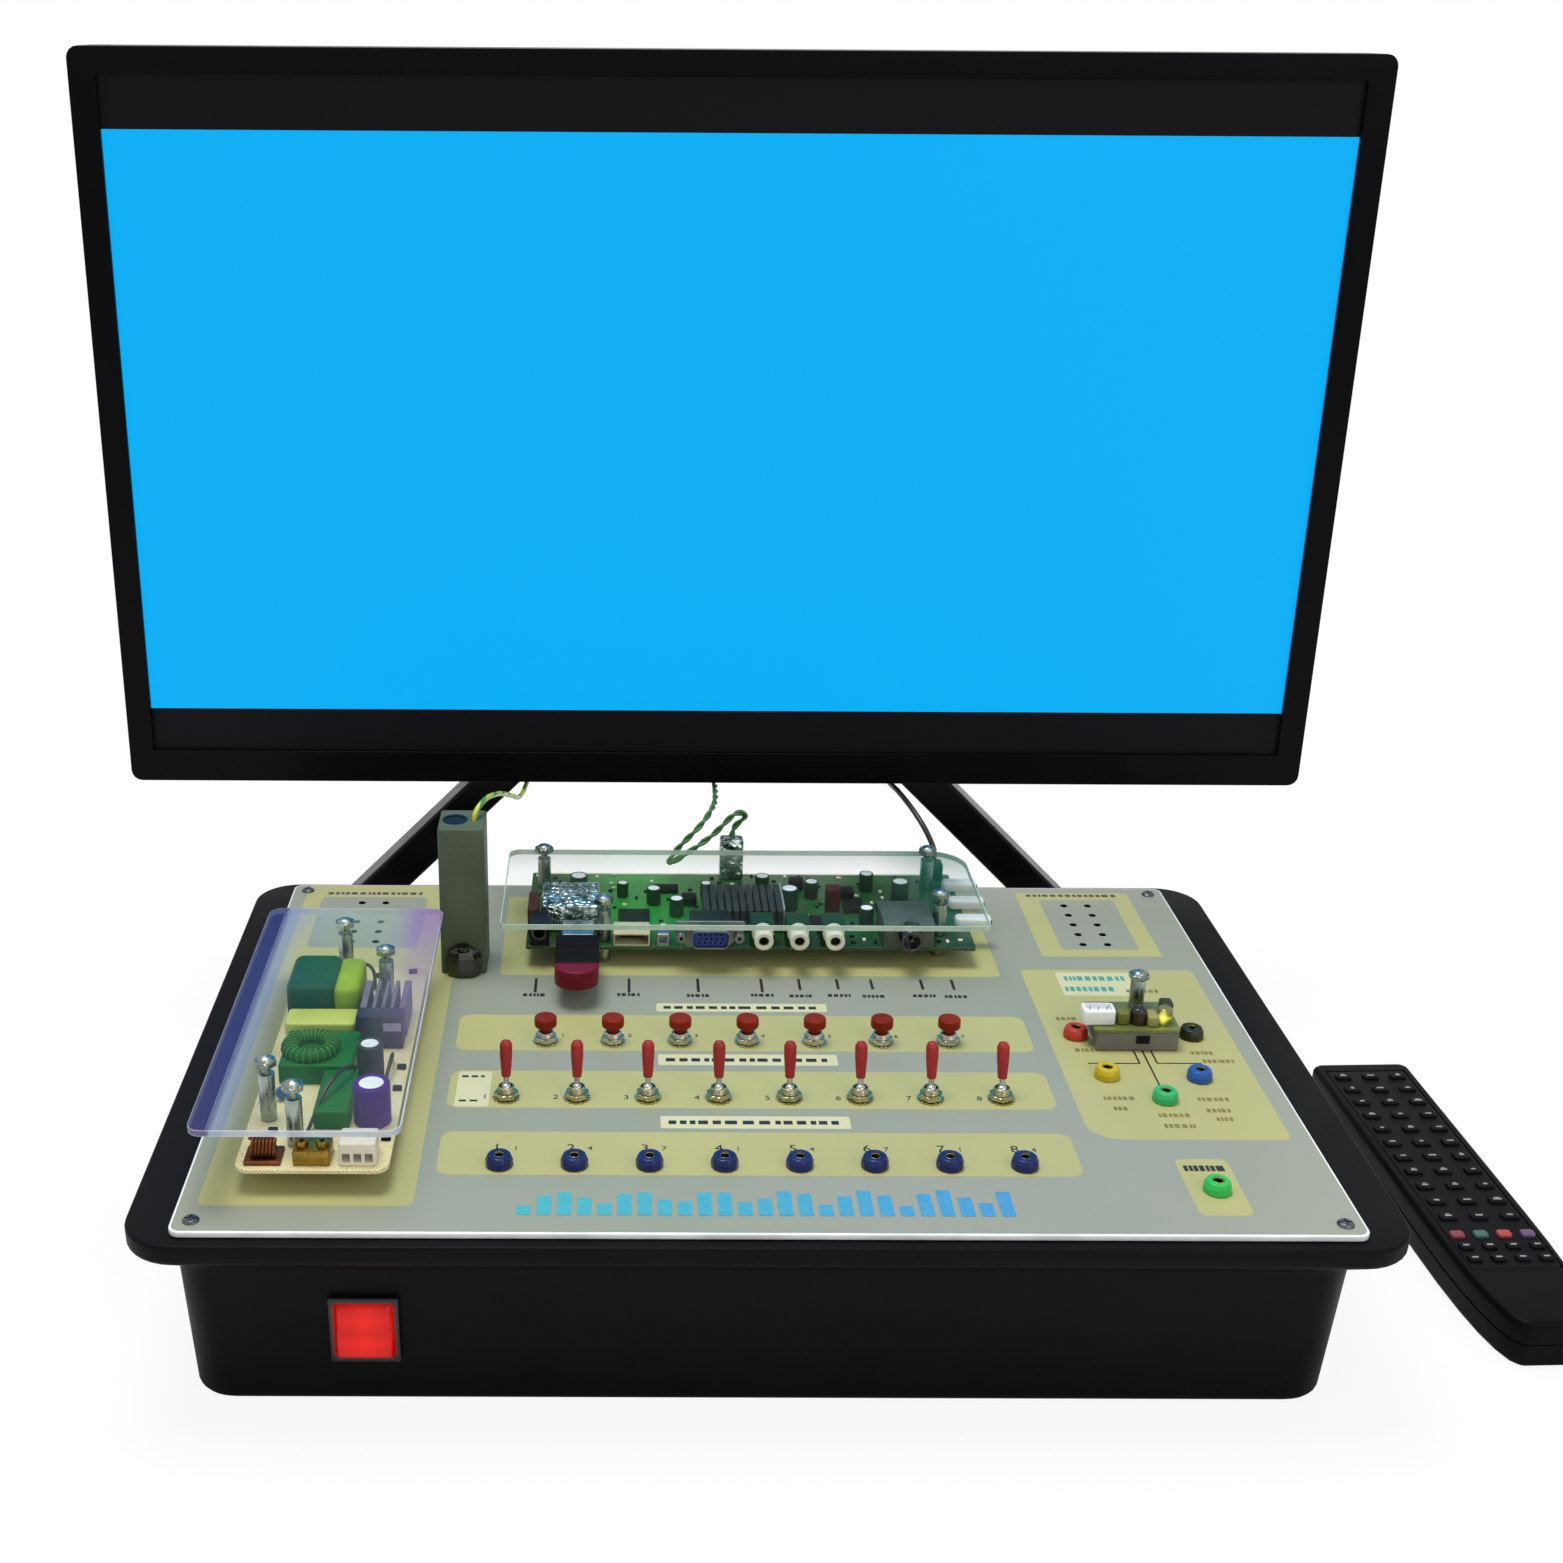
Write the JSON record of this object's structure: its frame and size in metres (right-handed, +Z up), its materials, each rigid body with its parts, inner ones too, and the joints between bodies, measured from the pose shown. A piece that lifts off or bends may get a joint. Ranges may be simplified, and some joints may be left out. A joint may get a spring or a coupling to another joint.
{
  "type": "tv and radio training kit",
  "caption": "Classroom kit: a black tub with a printed panel of buttons, toggles, test sockets and covered circuit boards, a flat television on a splayed stand behind and a remote control.",
  "frame": {"origin": "centre of the tub's flat underside, on the table", "axes": "+X to the user's right, +Y away from the user towards the television, +Z up"},
  "size_m": [0.5967, 0.416, 0.452],
  "materials": {
    "tub": "fine moulded texture",
    "panel": "printed, semi-gloss",
    "circuit_green": "solder mask, glossy",
    "circuit_cream": "bare laminate",
    "switch_metal": "plated",
    "socket_blue": "moulded, glossy",
    "socket_mixed": "moulded, glossy, each socket its own colour",
    "socket_green": "moulded, glossy",
    "speaker_metal": "painted frame with a paper cone",
    "black_plastic": "satin",
    "rocker_red": "translucent, lit from inside",
    "key_red": "moulded, glossy",
    "lever_red": "vinyl sleeve",
    "clear_main": "clear, polished",
    "clear_psu": "clear with a violet tint, polished",
    "nickel": "polished",
    "transformer": "taped core",
    "sink_aluminium": "extruded",
    "duct": "moulded",
    "screen": "lit, plain blue",
    "stand_metal": "black powder coat",
    "wire_green": "insulation",
    "wire_yellow": "insulation",
    "wire_black": "insulation",
    "remote_case": "satin",
    "remote_keys": "silicone"
  },
  "bodies": {
    "kit": {"base_tub": "tub", "top_panel": "panel", "keypad_board": "circuit_green", "toggle_board": "switch_metal", "test_socket_board": "socket_blue", "sensor_socket_board": "socket_mixed", "power_socket": "socket_green", "speaker_left": "speaker_metal", "speaker_right": "speaker_metal", "power_switch_frame": "black_plastic", "mains_inlet": "black_plastic", "main_board": "circuit_green", "main_standoff_1": "nickel", "main_standoff_2": "nickel", "main_standoff_3": "nickel", "main_standoff_4": "nickel", "main_cover": "clear_main", "psu_board": "circuit_cream", "psu_transformer": "transformer", "psu_heat_sink": "sink_aluminium", "psu_standoff_1": "nickel", "psu_standoff_2": "nickel", "psu_standoff_3": "nickel", "psu_standoff_4": "nickel", "psu_cover": "clear_psu", "sensor_board": "circuit_green", "sensor_standoff": "nickel", "cable_duct": "duct", "tv_front_bezel": "black_plastic", "tv_screen_panel": "screen", "tv_driver_board": "circuit_green", "tv_back_cover": "black_plastic", "stand_hub": "stand_metal", "stand_leg_left": "stand_metal", "stand_leg_right": "stand_metal", "stand_foot_left": "stand_metal", "stand_foot_right": "stand_metal", "panel_wires": "wire_green", "earth_wire": "wire_yellow", "tv_power_cable": "wire_black"},
    "power_rocker": {"power_rocker": "rocker_red"},
    "usb_stick": {"usb_stick": "black_plastic"},
    "remote": {"remote_case_lower": "remote_case", "remote_case_upper": "remote_case", "remote_keypad": "remote_keys"},
    "key_cap_1": {"key_cap_1": "key_red"},
    "key_cap_2": {"key_cap_2": "key_red"},
    "key_cap_3": {"key_cap_3": "key_red"},
    "key_cap_4": {"key_cap_4": "key_red"},
    "key_cap_5": {"key_cap_5": "key_red"},
    "key_cap_6": {"key_cap_6": "key_red"},
    "key_cap_7": {"key_cap_7": "key_red"},
    "toggle_lever_1": {"toggle_lever_1": "lever_red"},
    "toggle_lever_2": {"toggle_lever_2": "lever_red"},
    "toggle_lever_3": {"toggle_lever_3": "lever_red"},
    "toggle_lever_4": {"toggle_lever_4": "lever_red"},
    "toggle_lever_5": {"toggle_lever_5": "lever_red"},
    "toggle_lever_6": {"toggle_lever_6": "lever_red"},
    "toggle_lever_7": {"toggle_lever_7": "lever_red"},
    "toggle_lever_8": {"toggle_lever_8": "lever_red"}
  },
  "joints": [
    {"name": "key_cap_1_press", "type": "slide", "parent": "kit", "child": "key_cap_1", "axis": [0, 0, -1], "range_m": [0, 0.002], "stiffness_N_per_m": 300, "springref_m": -0.0005},
    {"name": "key_cap_2_press", "type": "slide", "parent": "kit", "child": "key_cap_2", "axis": [0, 0, -1], "range_m": [0, 0.002], "stiffness_N_per_m": 300, "springref_m": -0.0005},
    {"name": "key_cap_3_press", "type": "slide", "parent": "kit", "child": "key_cap_3", "axis": [0, 0, -1], "range_m": [0, 0.002], "stiffness_N_per_m": 300, "springref_m": -0.0005},
    {"name": "key_cap_4_press", "type": "slide", "parent": "kit", "child": "key_cap_4", "axis": [0, 0, -1], "range_m": [0, 0.002], "stiffness_N_per_m": 300, "springref_m": -0.0005},
    {"name": "key_cap_5_press", "type": "slide", "parent": "kit", "child": "key_cap_5", "axis": [0, 0, -1], "range_m": [0, 0.002], "stiffness_N_per_m": 300, "springref_m": -0.0005},
    {"name": "key_cap_6_press", "type": "slide", "parent": "kit", "child": "key_cap_6", "axis": [0, 0, -1], "range_m": [0, 0.002], "stiffness_N_per_m": 300, "springref_m": -0.0005},
    {"name": "key_cap_7_press", "type": "slide", "parent": "kit", "child": "key_cap_7", "axis": [0, 0, -1], "range_m": [0, 0.002], "stiffness_N_per_m": 300, "springref_m": -0.0005},
    {"name": "toggle_lever_1_tilt", "type": "hinge", "parent": "kit", "child": "toggle_lever_1", "pos_m": [-0.0945, -0.0505, 0.0843], "axis": [1, 0, 0], "range_deg": [0, 25]},
    {"name": "toggle_lever_2_tilt", "type": "hinge", "parent": "kit", "child": "toggle_lever_2", "pos_m": [-0.0675, -0.0505, 0.0843], "axis": [1, 0, 0], "range_deg": [0, 25]},
    {"name": "toggle_lever_3_tilt", "type": "hinge", "parent": "kit", "child": "toggle_lever_3", "pos_m": [-0.0405, -0.0505, 0.0843], "axis": [1, 0, 0], "range_deg": [0, 25]},
    {"name": "toggle_lever_4_tilt", "type": "hinge", "parent": "kit", "child": "toggle_lever_4", "pos_m": [-0.0135, -0.0505, 0.0843], "axis": [1, 0, 0], "range_deg": [0, 25]},
    {"name": "toggle_lever_5_tilt", "type": "hinge", "parent": "kit", "child": "toggle_lever_5", "pos_m": [0.0135, -0.0505, 0.0843], "axis": [1, 0, 0], "range_deg": [0, 25]},
    {"name": "toggle_lever_6_tilt", "type": "hinge", "parent": "kit", "child": "toggle_lever_6", "pos_m": [0.0405, -0.0505, 0.0843], "axis": [1, 0, 0], "range_deg": [0, 25]},
    {"name": "toggle_lever_7_tilt", "type": "hinge", "parent": "kit", "child": "toggle_lever_7", "pos_m": [0.0675, -0.0505, 0.0843], "axis": [1, 0, 0], "range_deg": [0, 25]},
    {"name": "toggle_lever_8_tilt", "type": "hinge", "parent": "kit", "child": "toggle_lever_8", "pos_m": [0.0945, -0.0505, 0.0843], "axis": [1, 0, 0], "range_deg": [0, 25]},
    {"name": "power_rocker_tilt", "type": "hinge", "parent": "kit", "child": "power_rocker", "pos_m": [-0.1408, -0.13049, 0.03342], "axis": [1, 0, 0], "range_deg": [0, 14]},
    {"name": "usb_stick_pull", "type": "slide", "parent": "kit", "child": "usb_stick", "axis": [0, -1, 0], "range_m": [0, 0.018]},
    {"name": "remote_lift", "type": "slide", "parent": "kit", "child": "remote", "axis": [0, 0, 1], "range_m": [0, 0.12]}
  ]
}
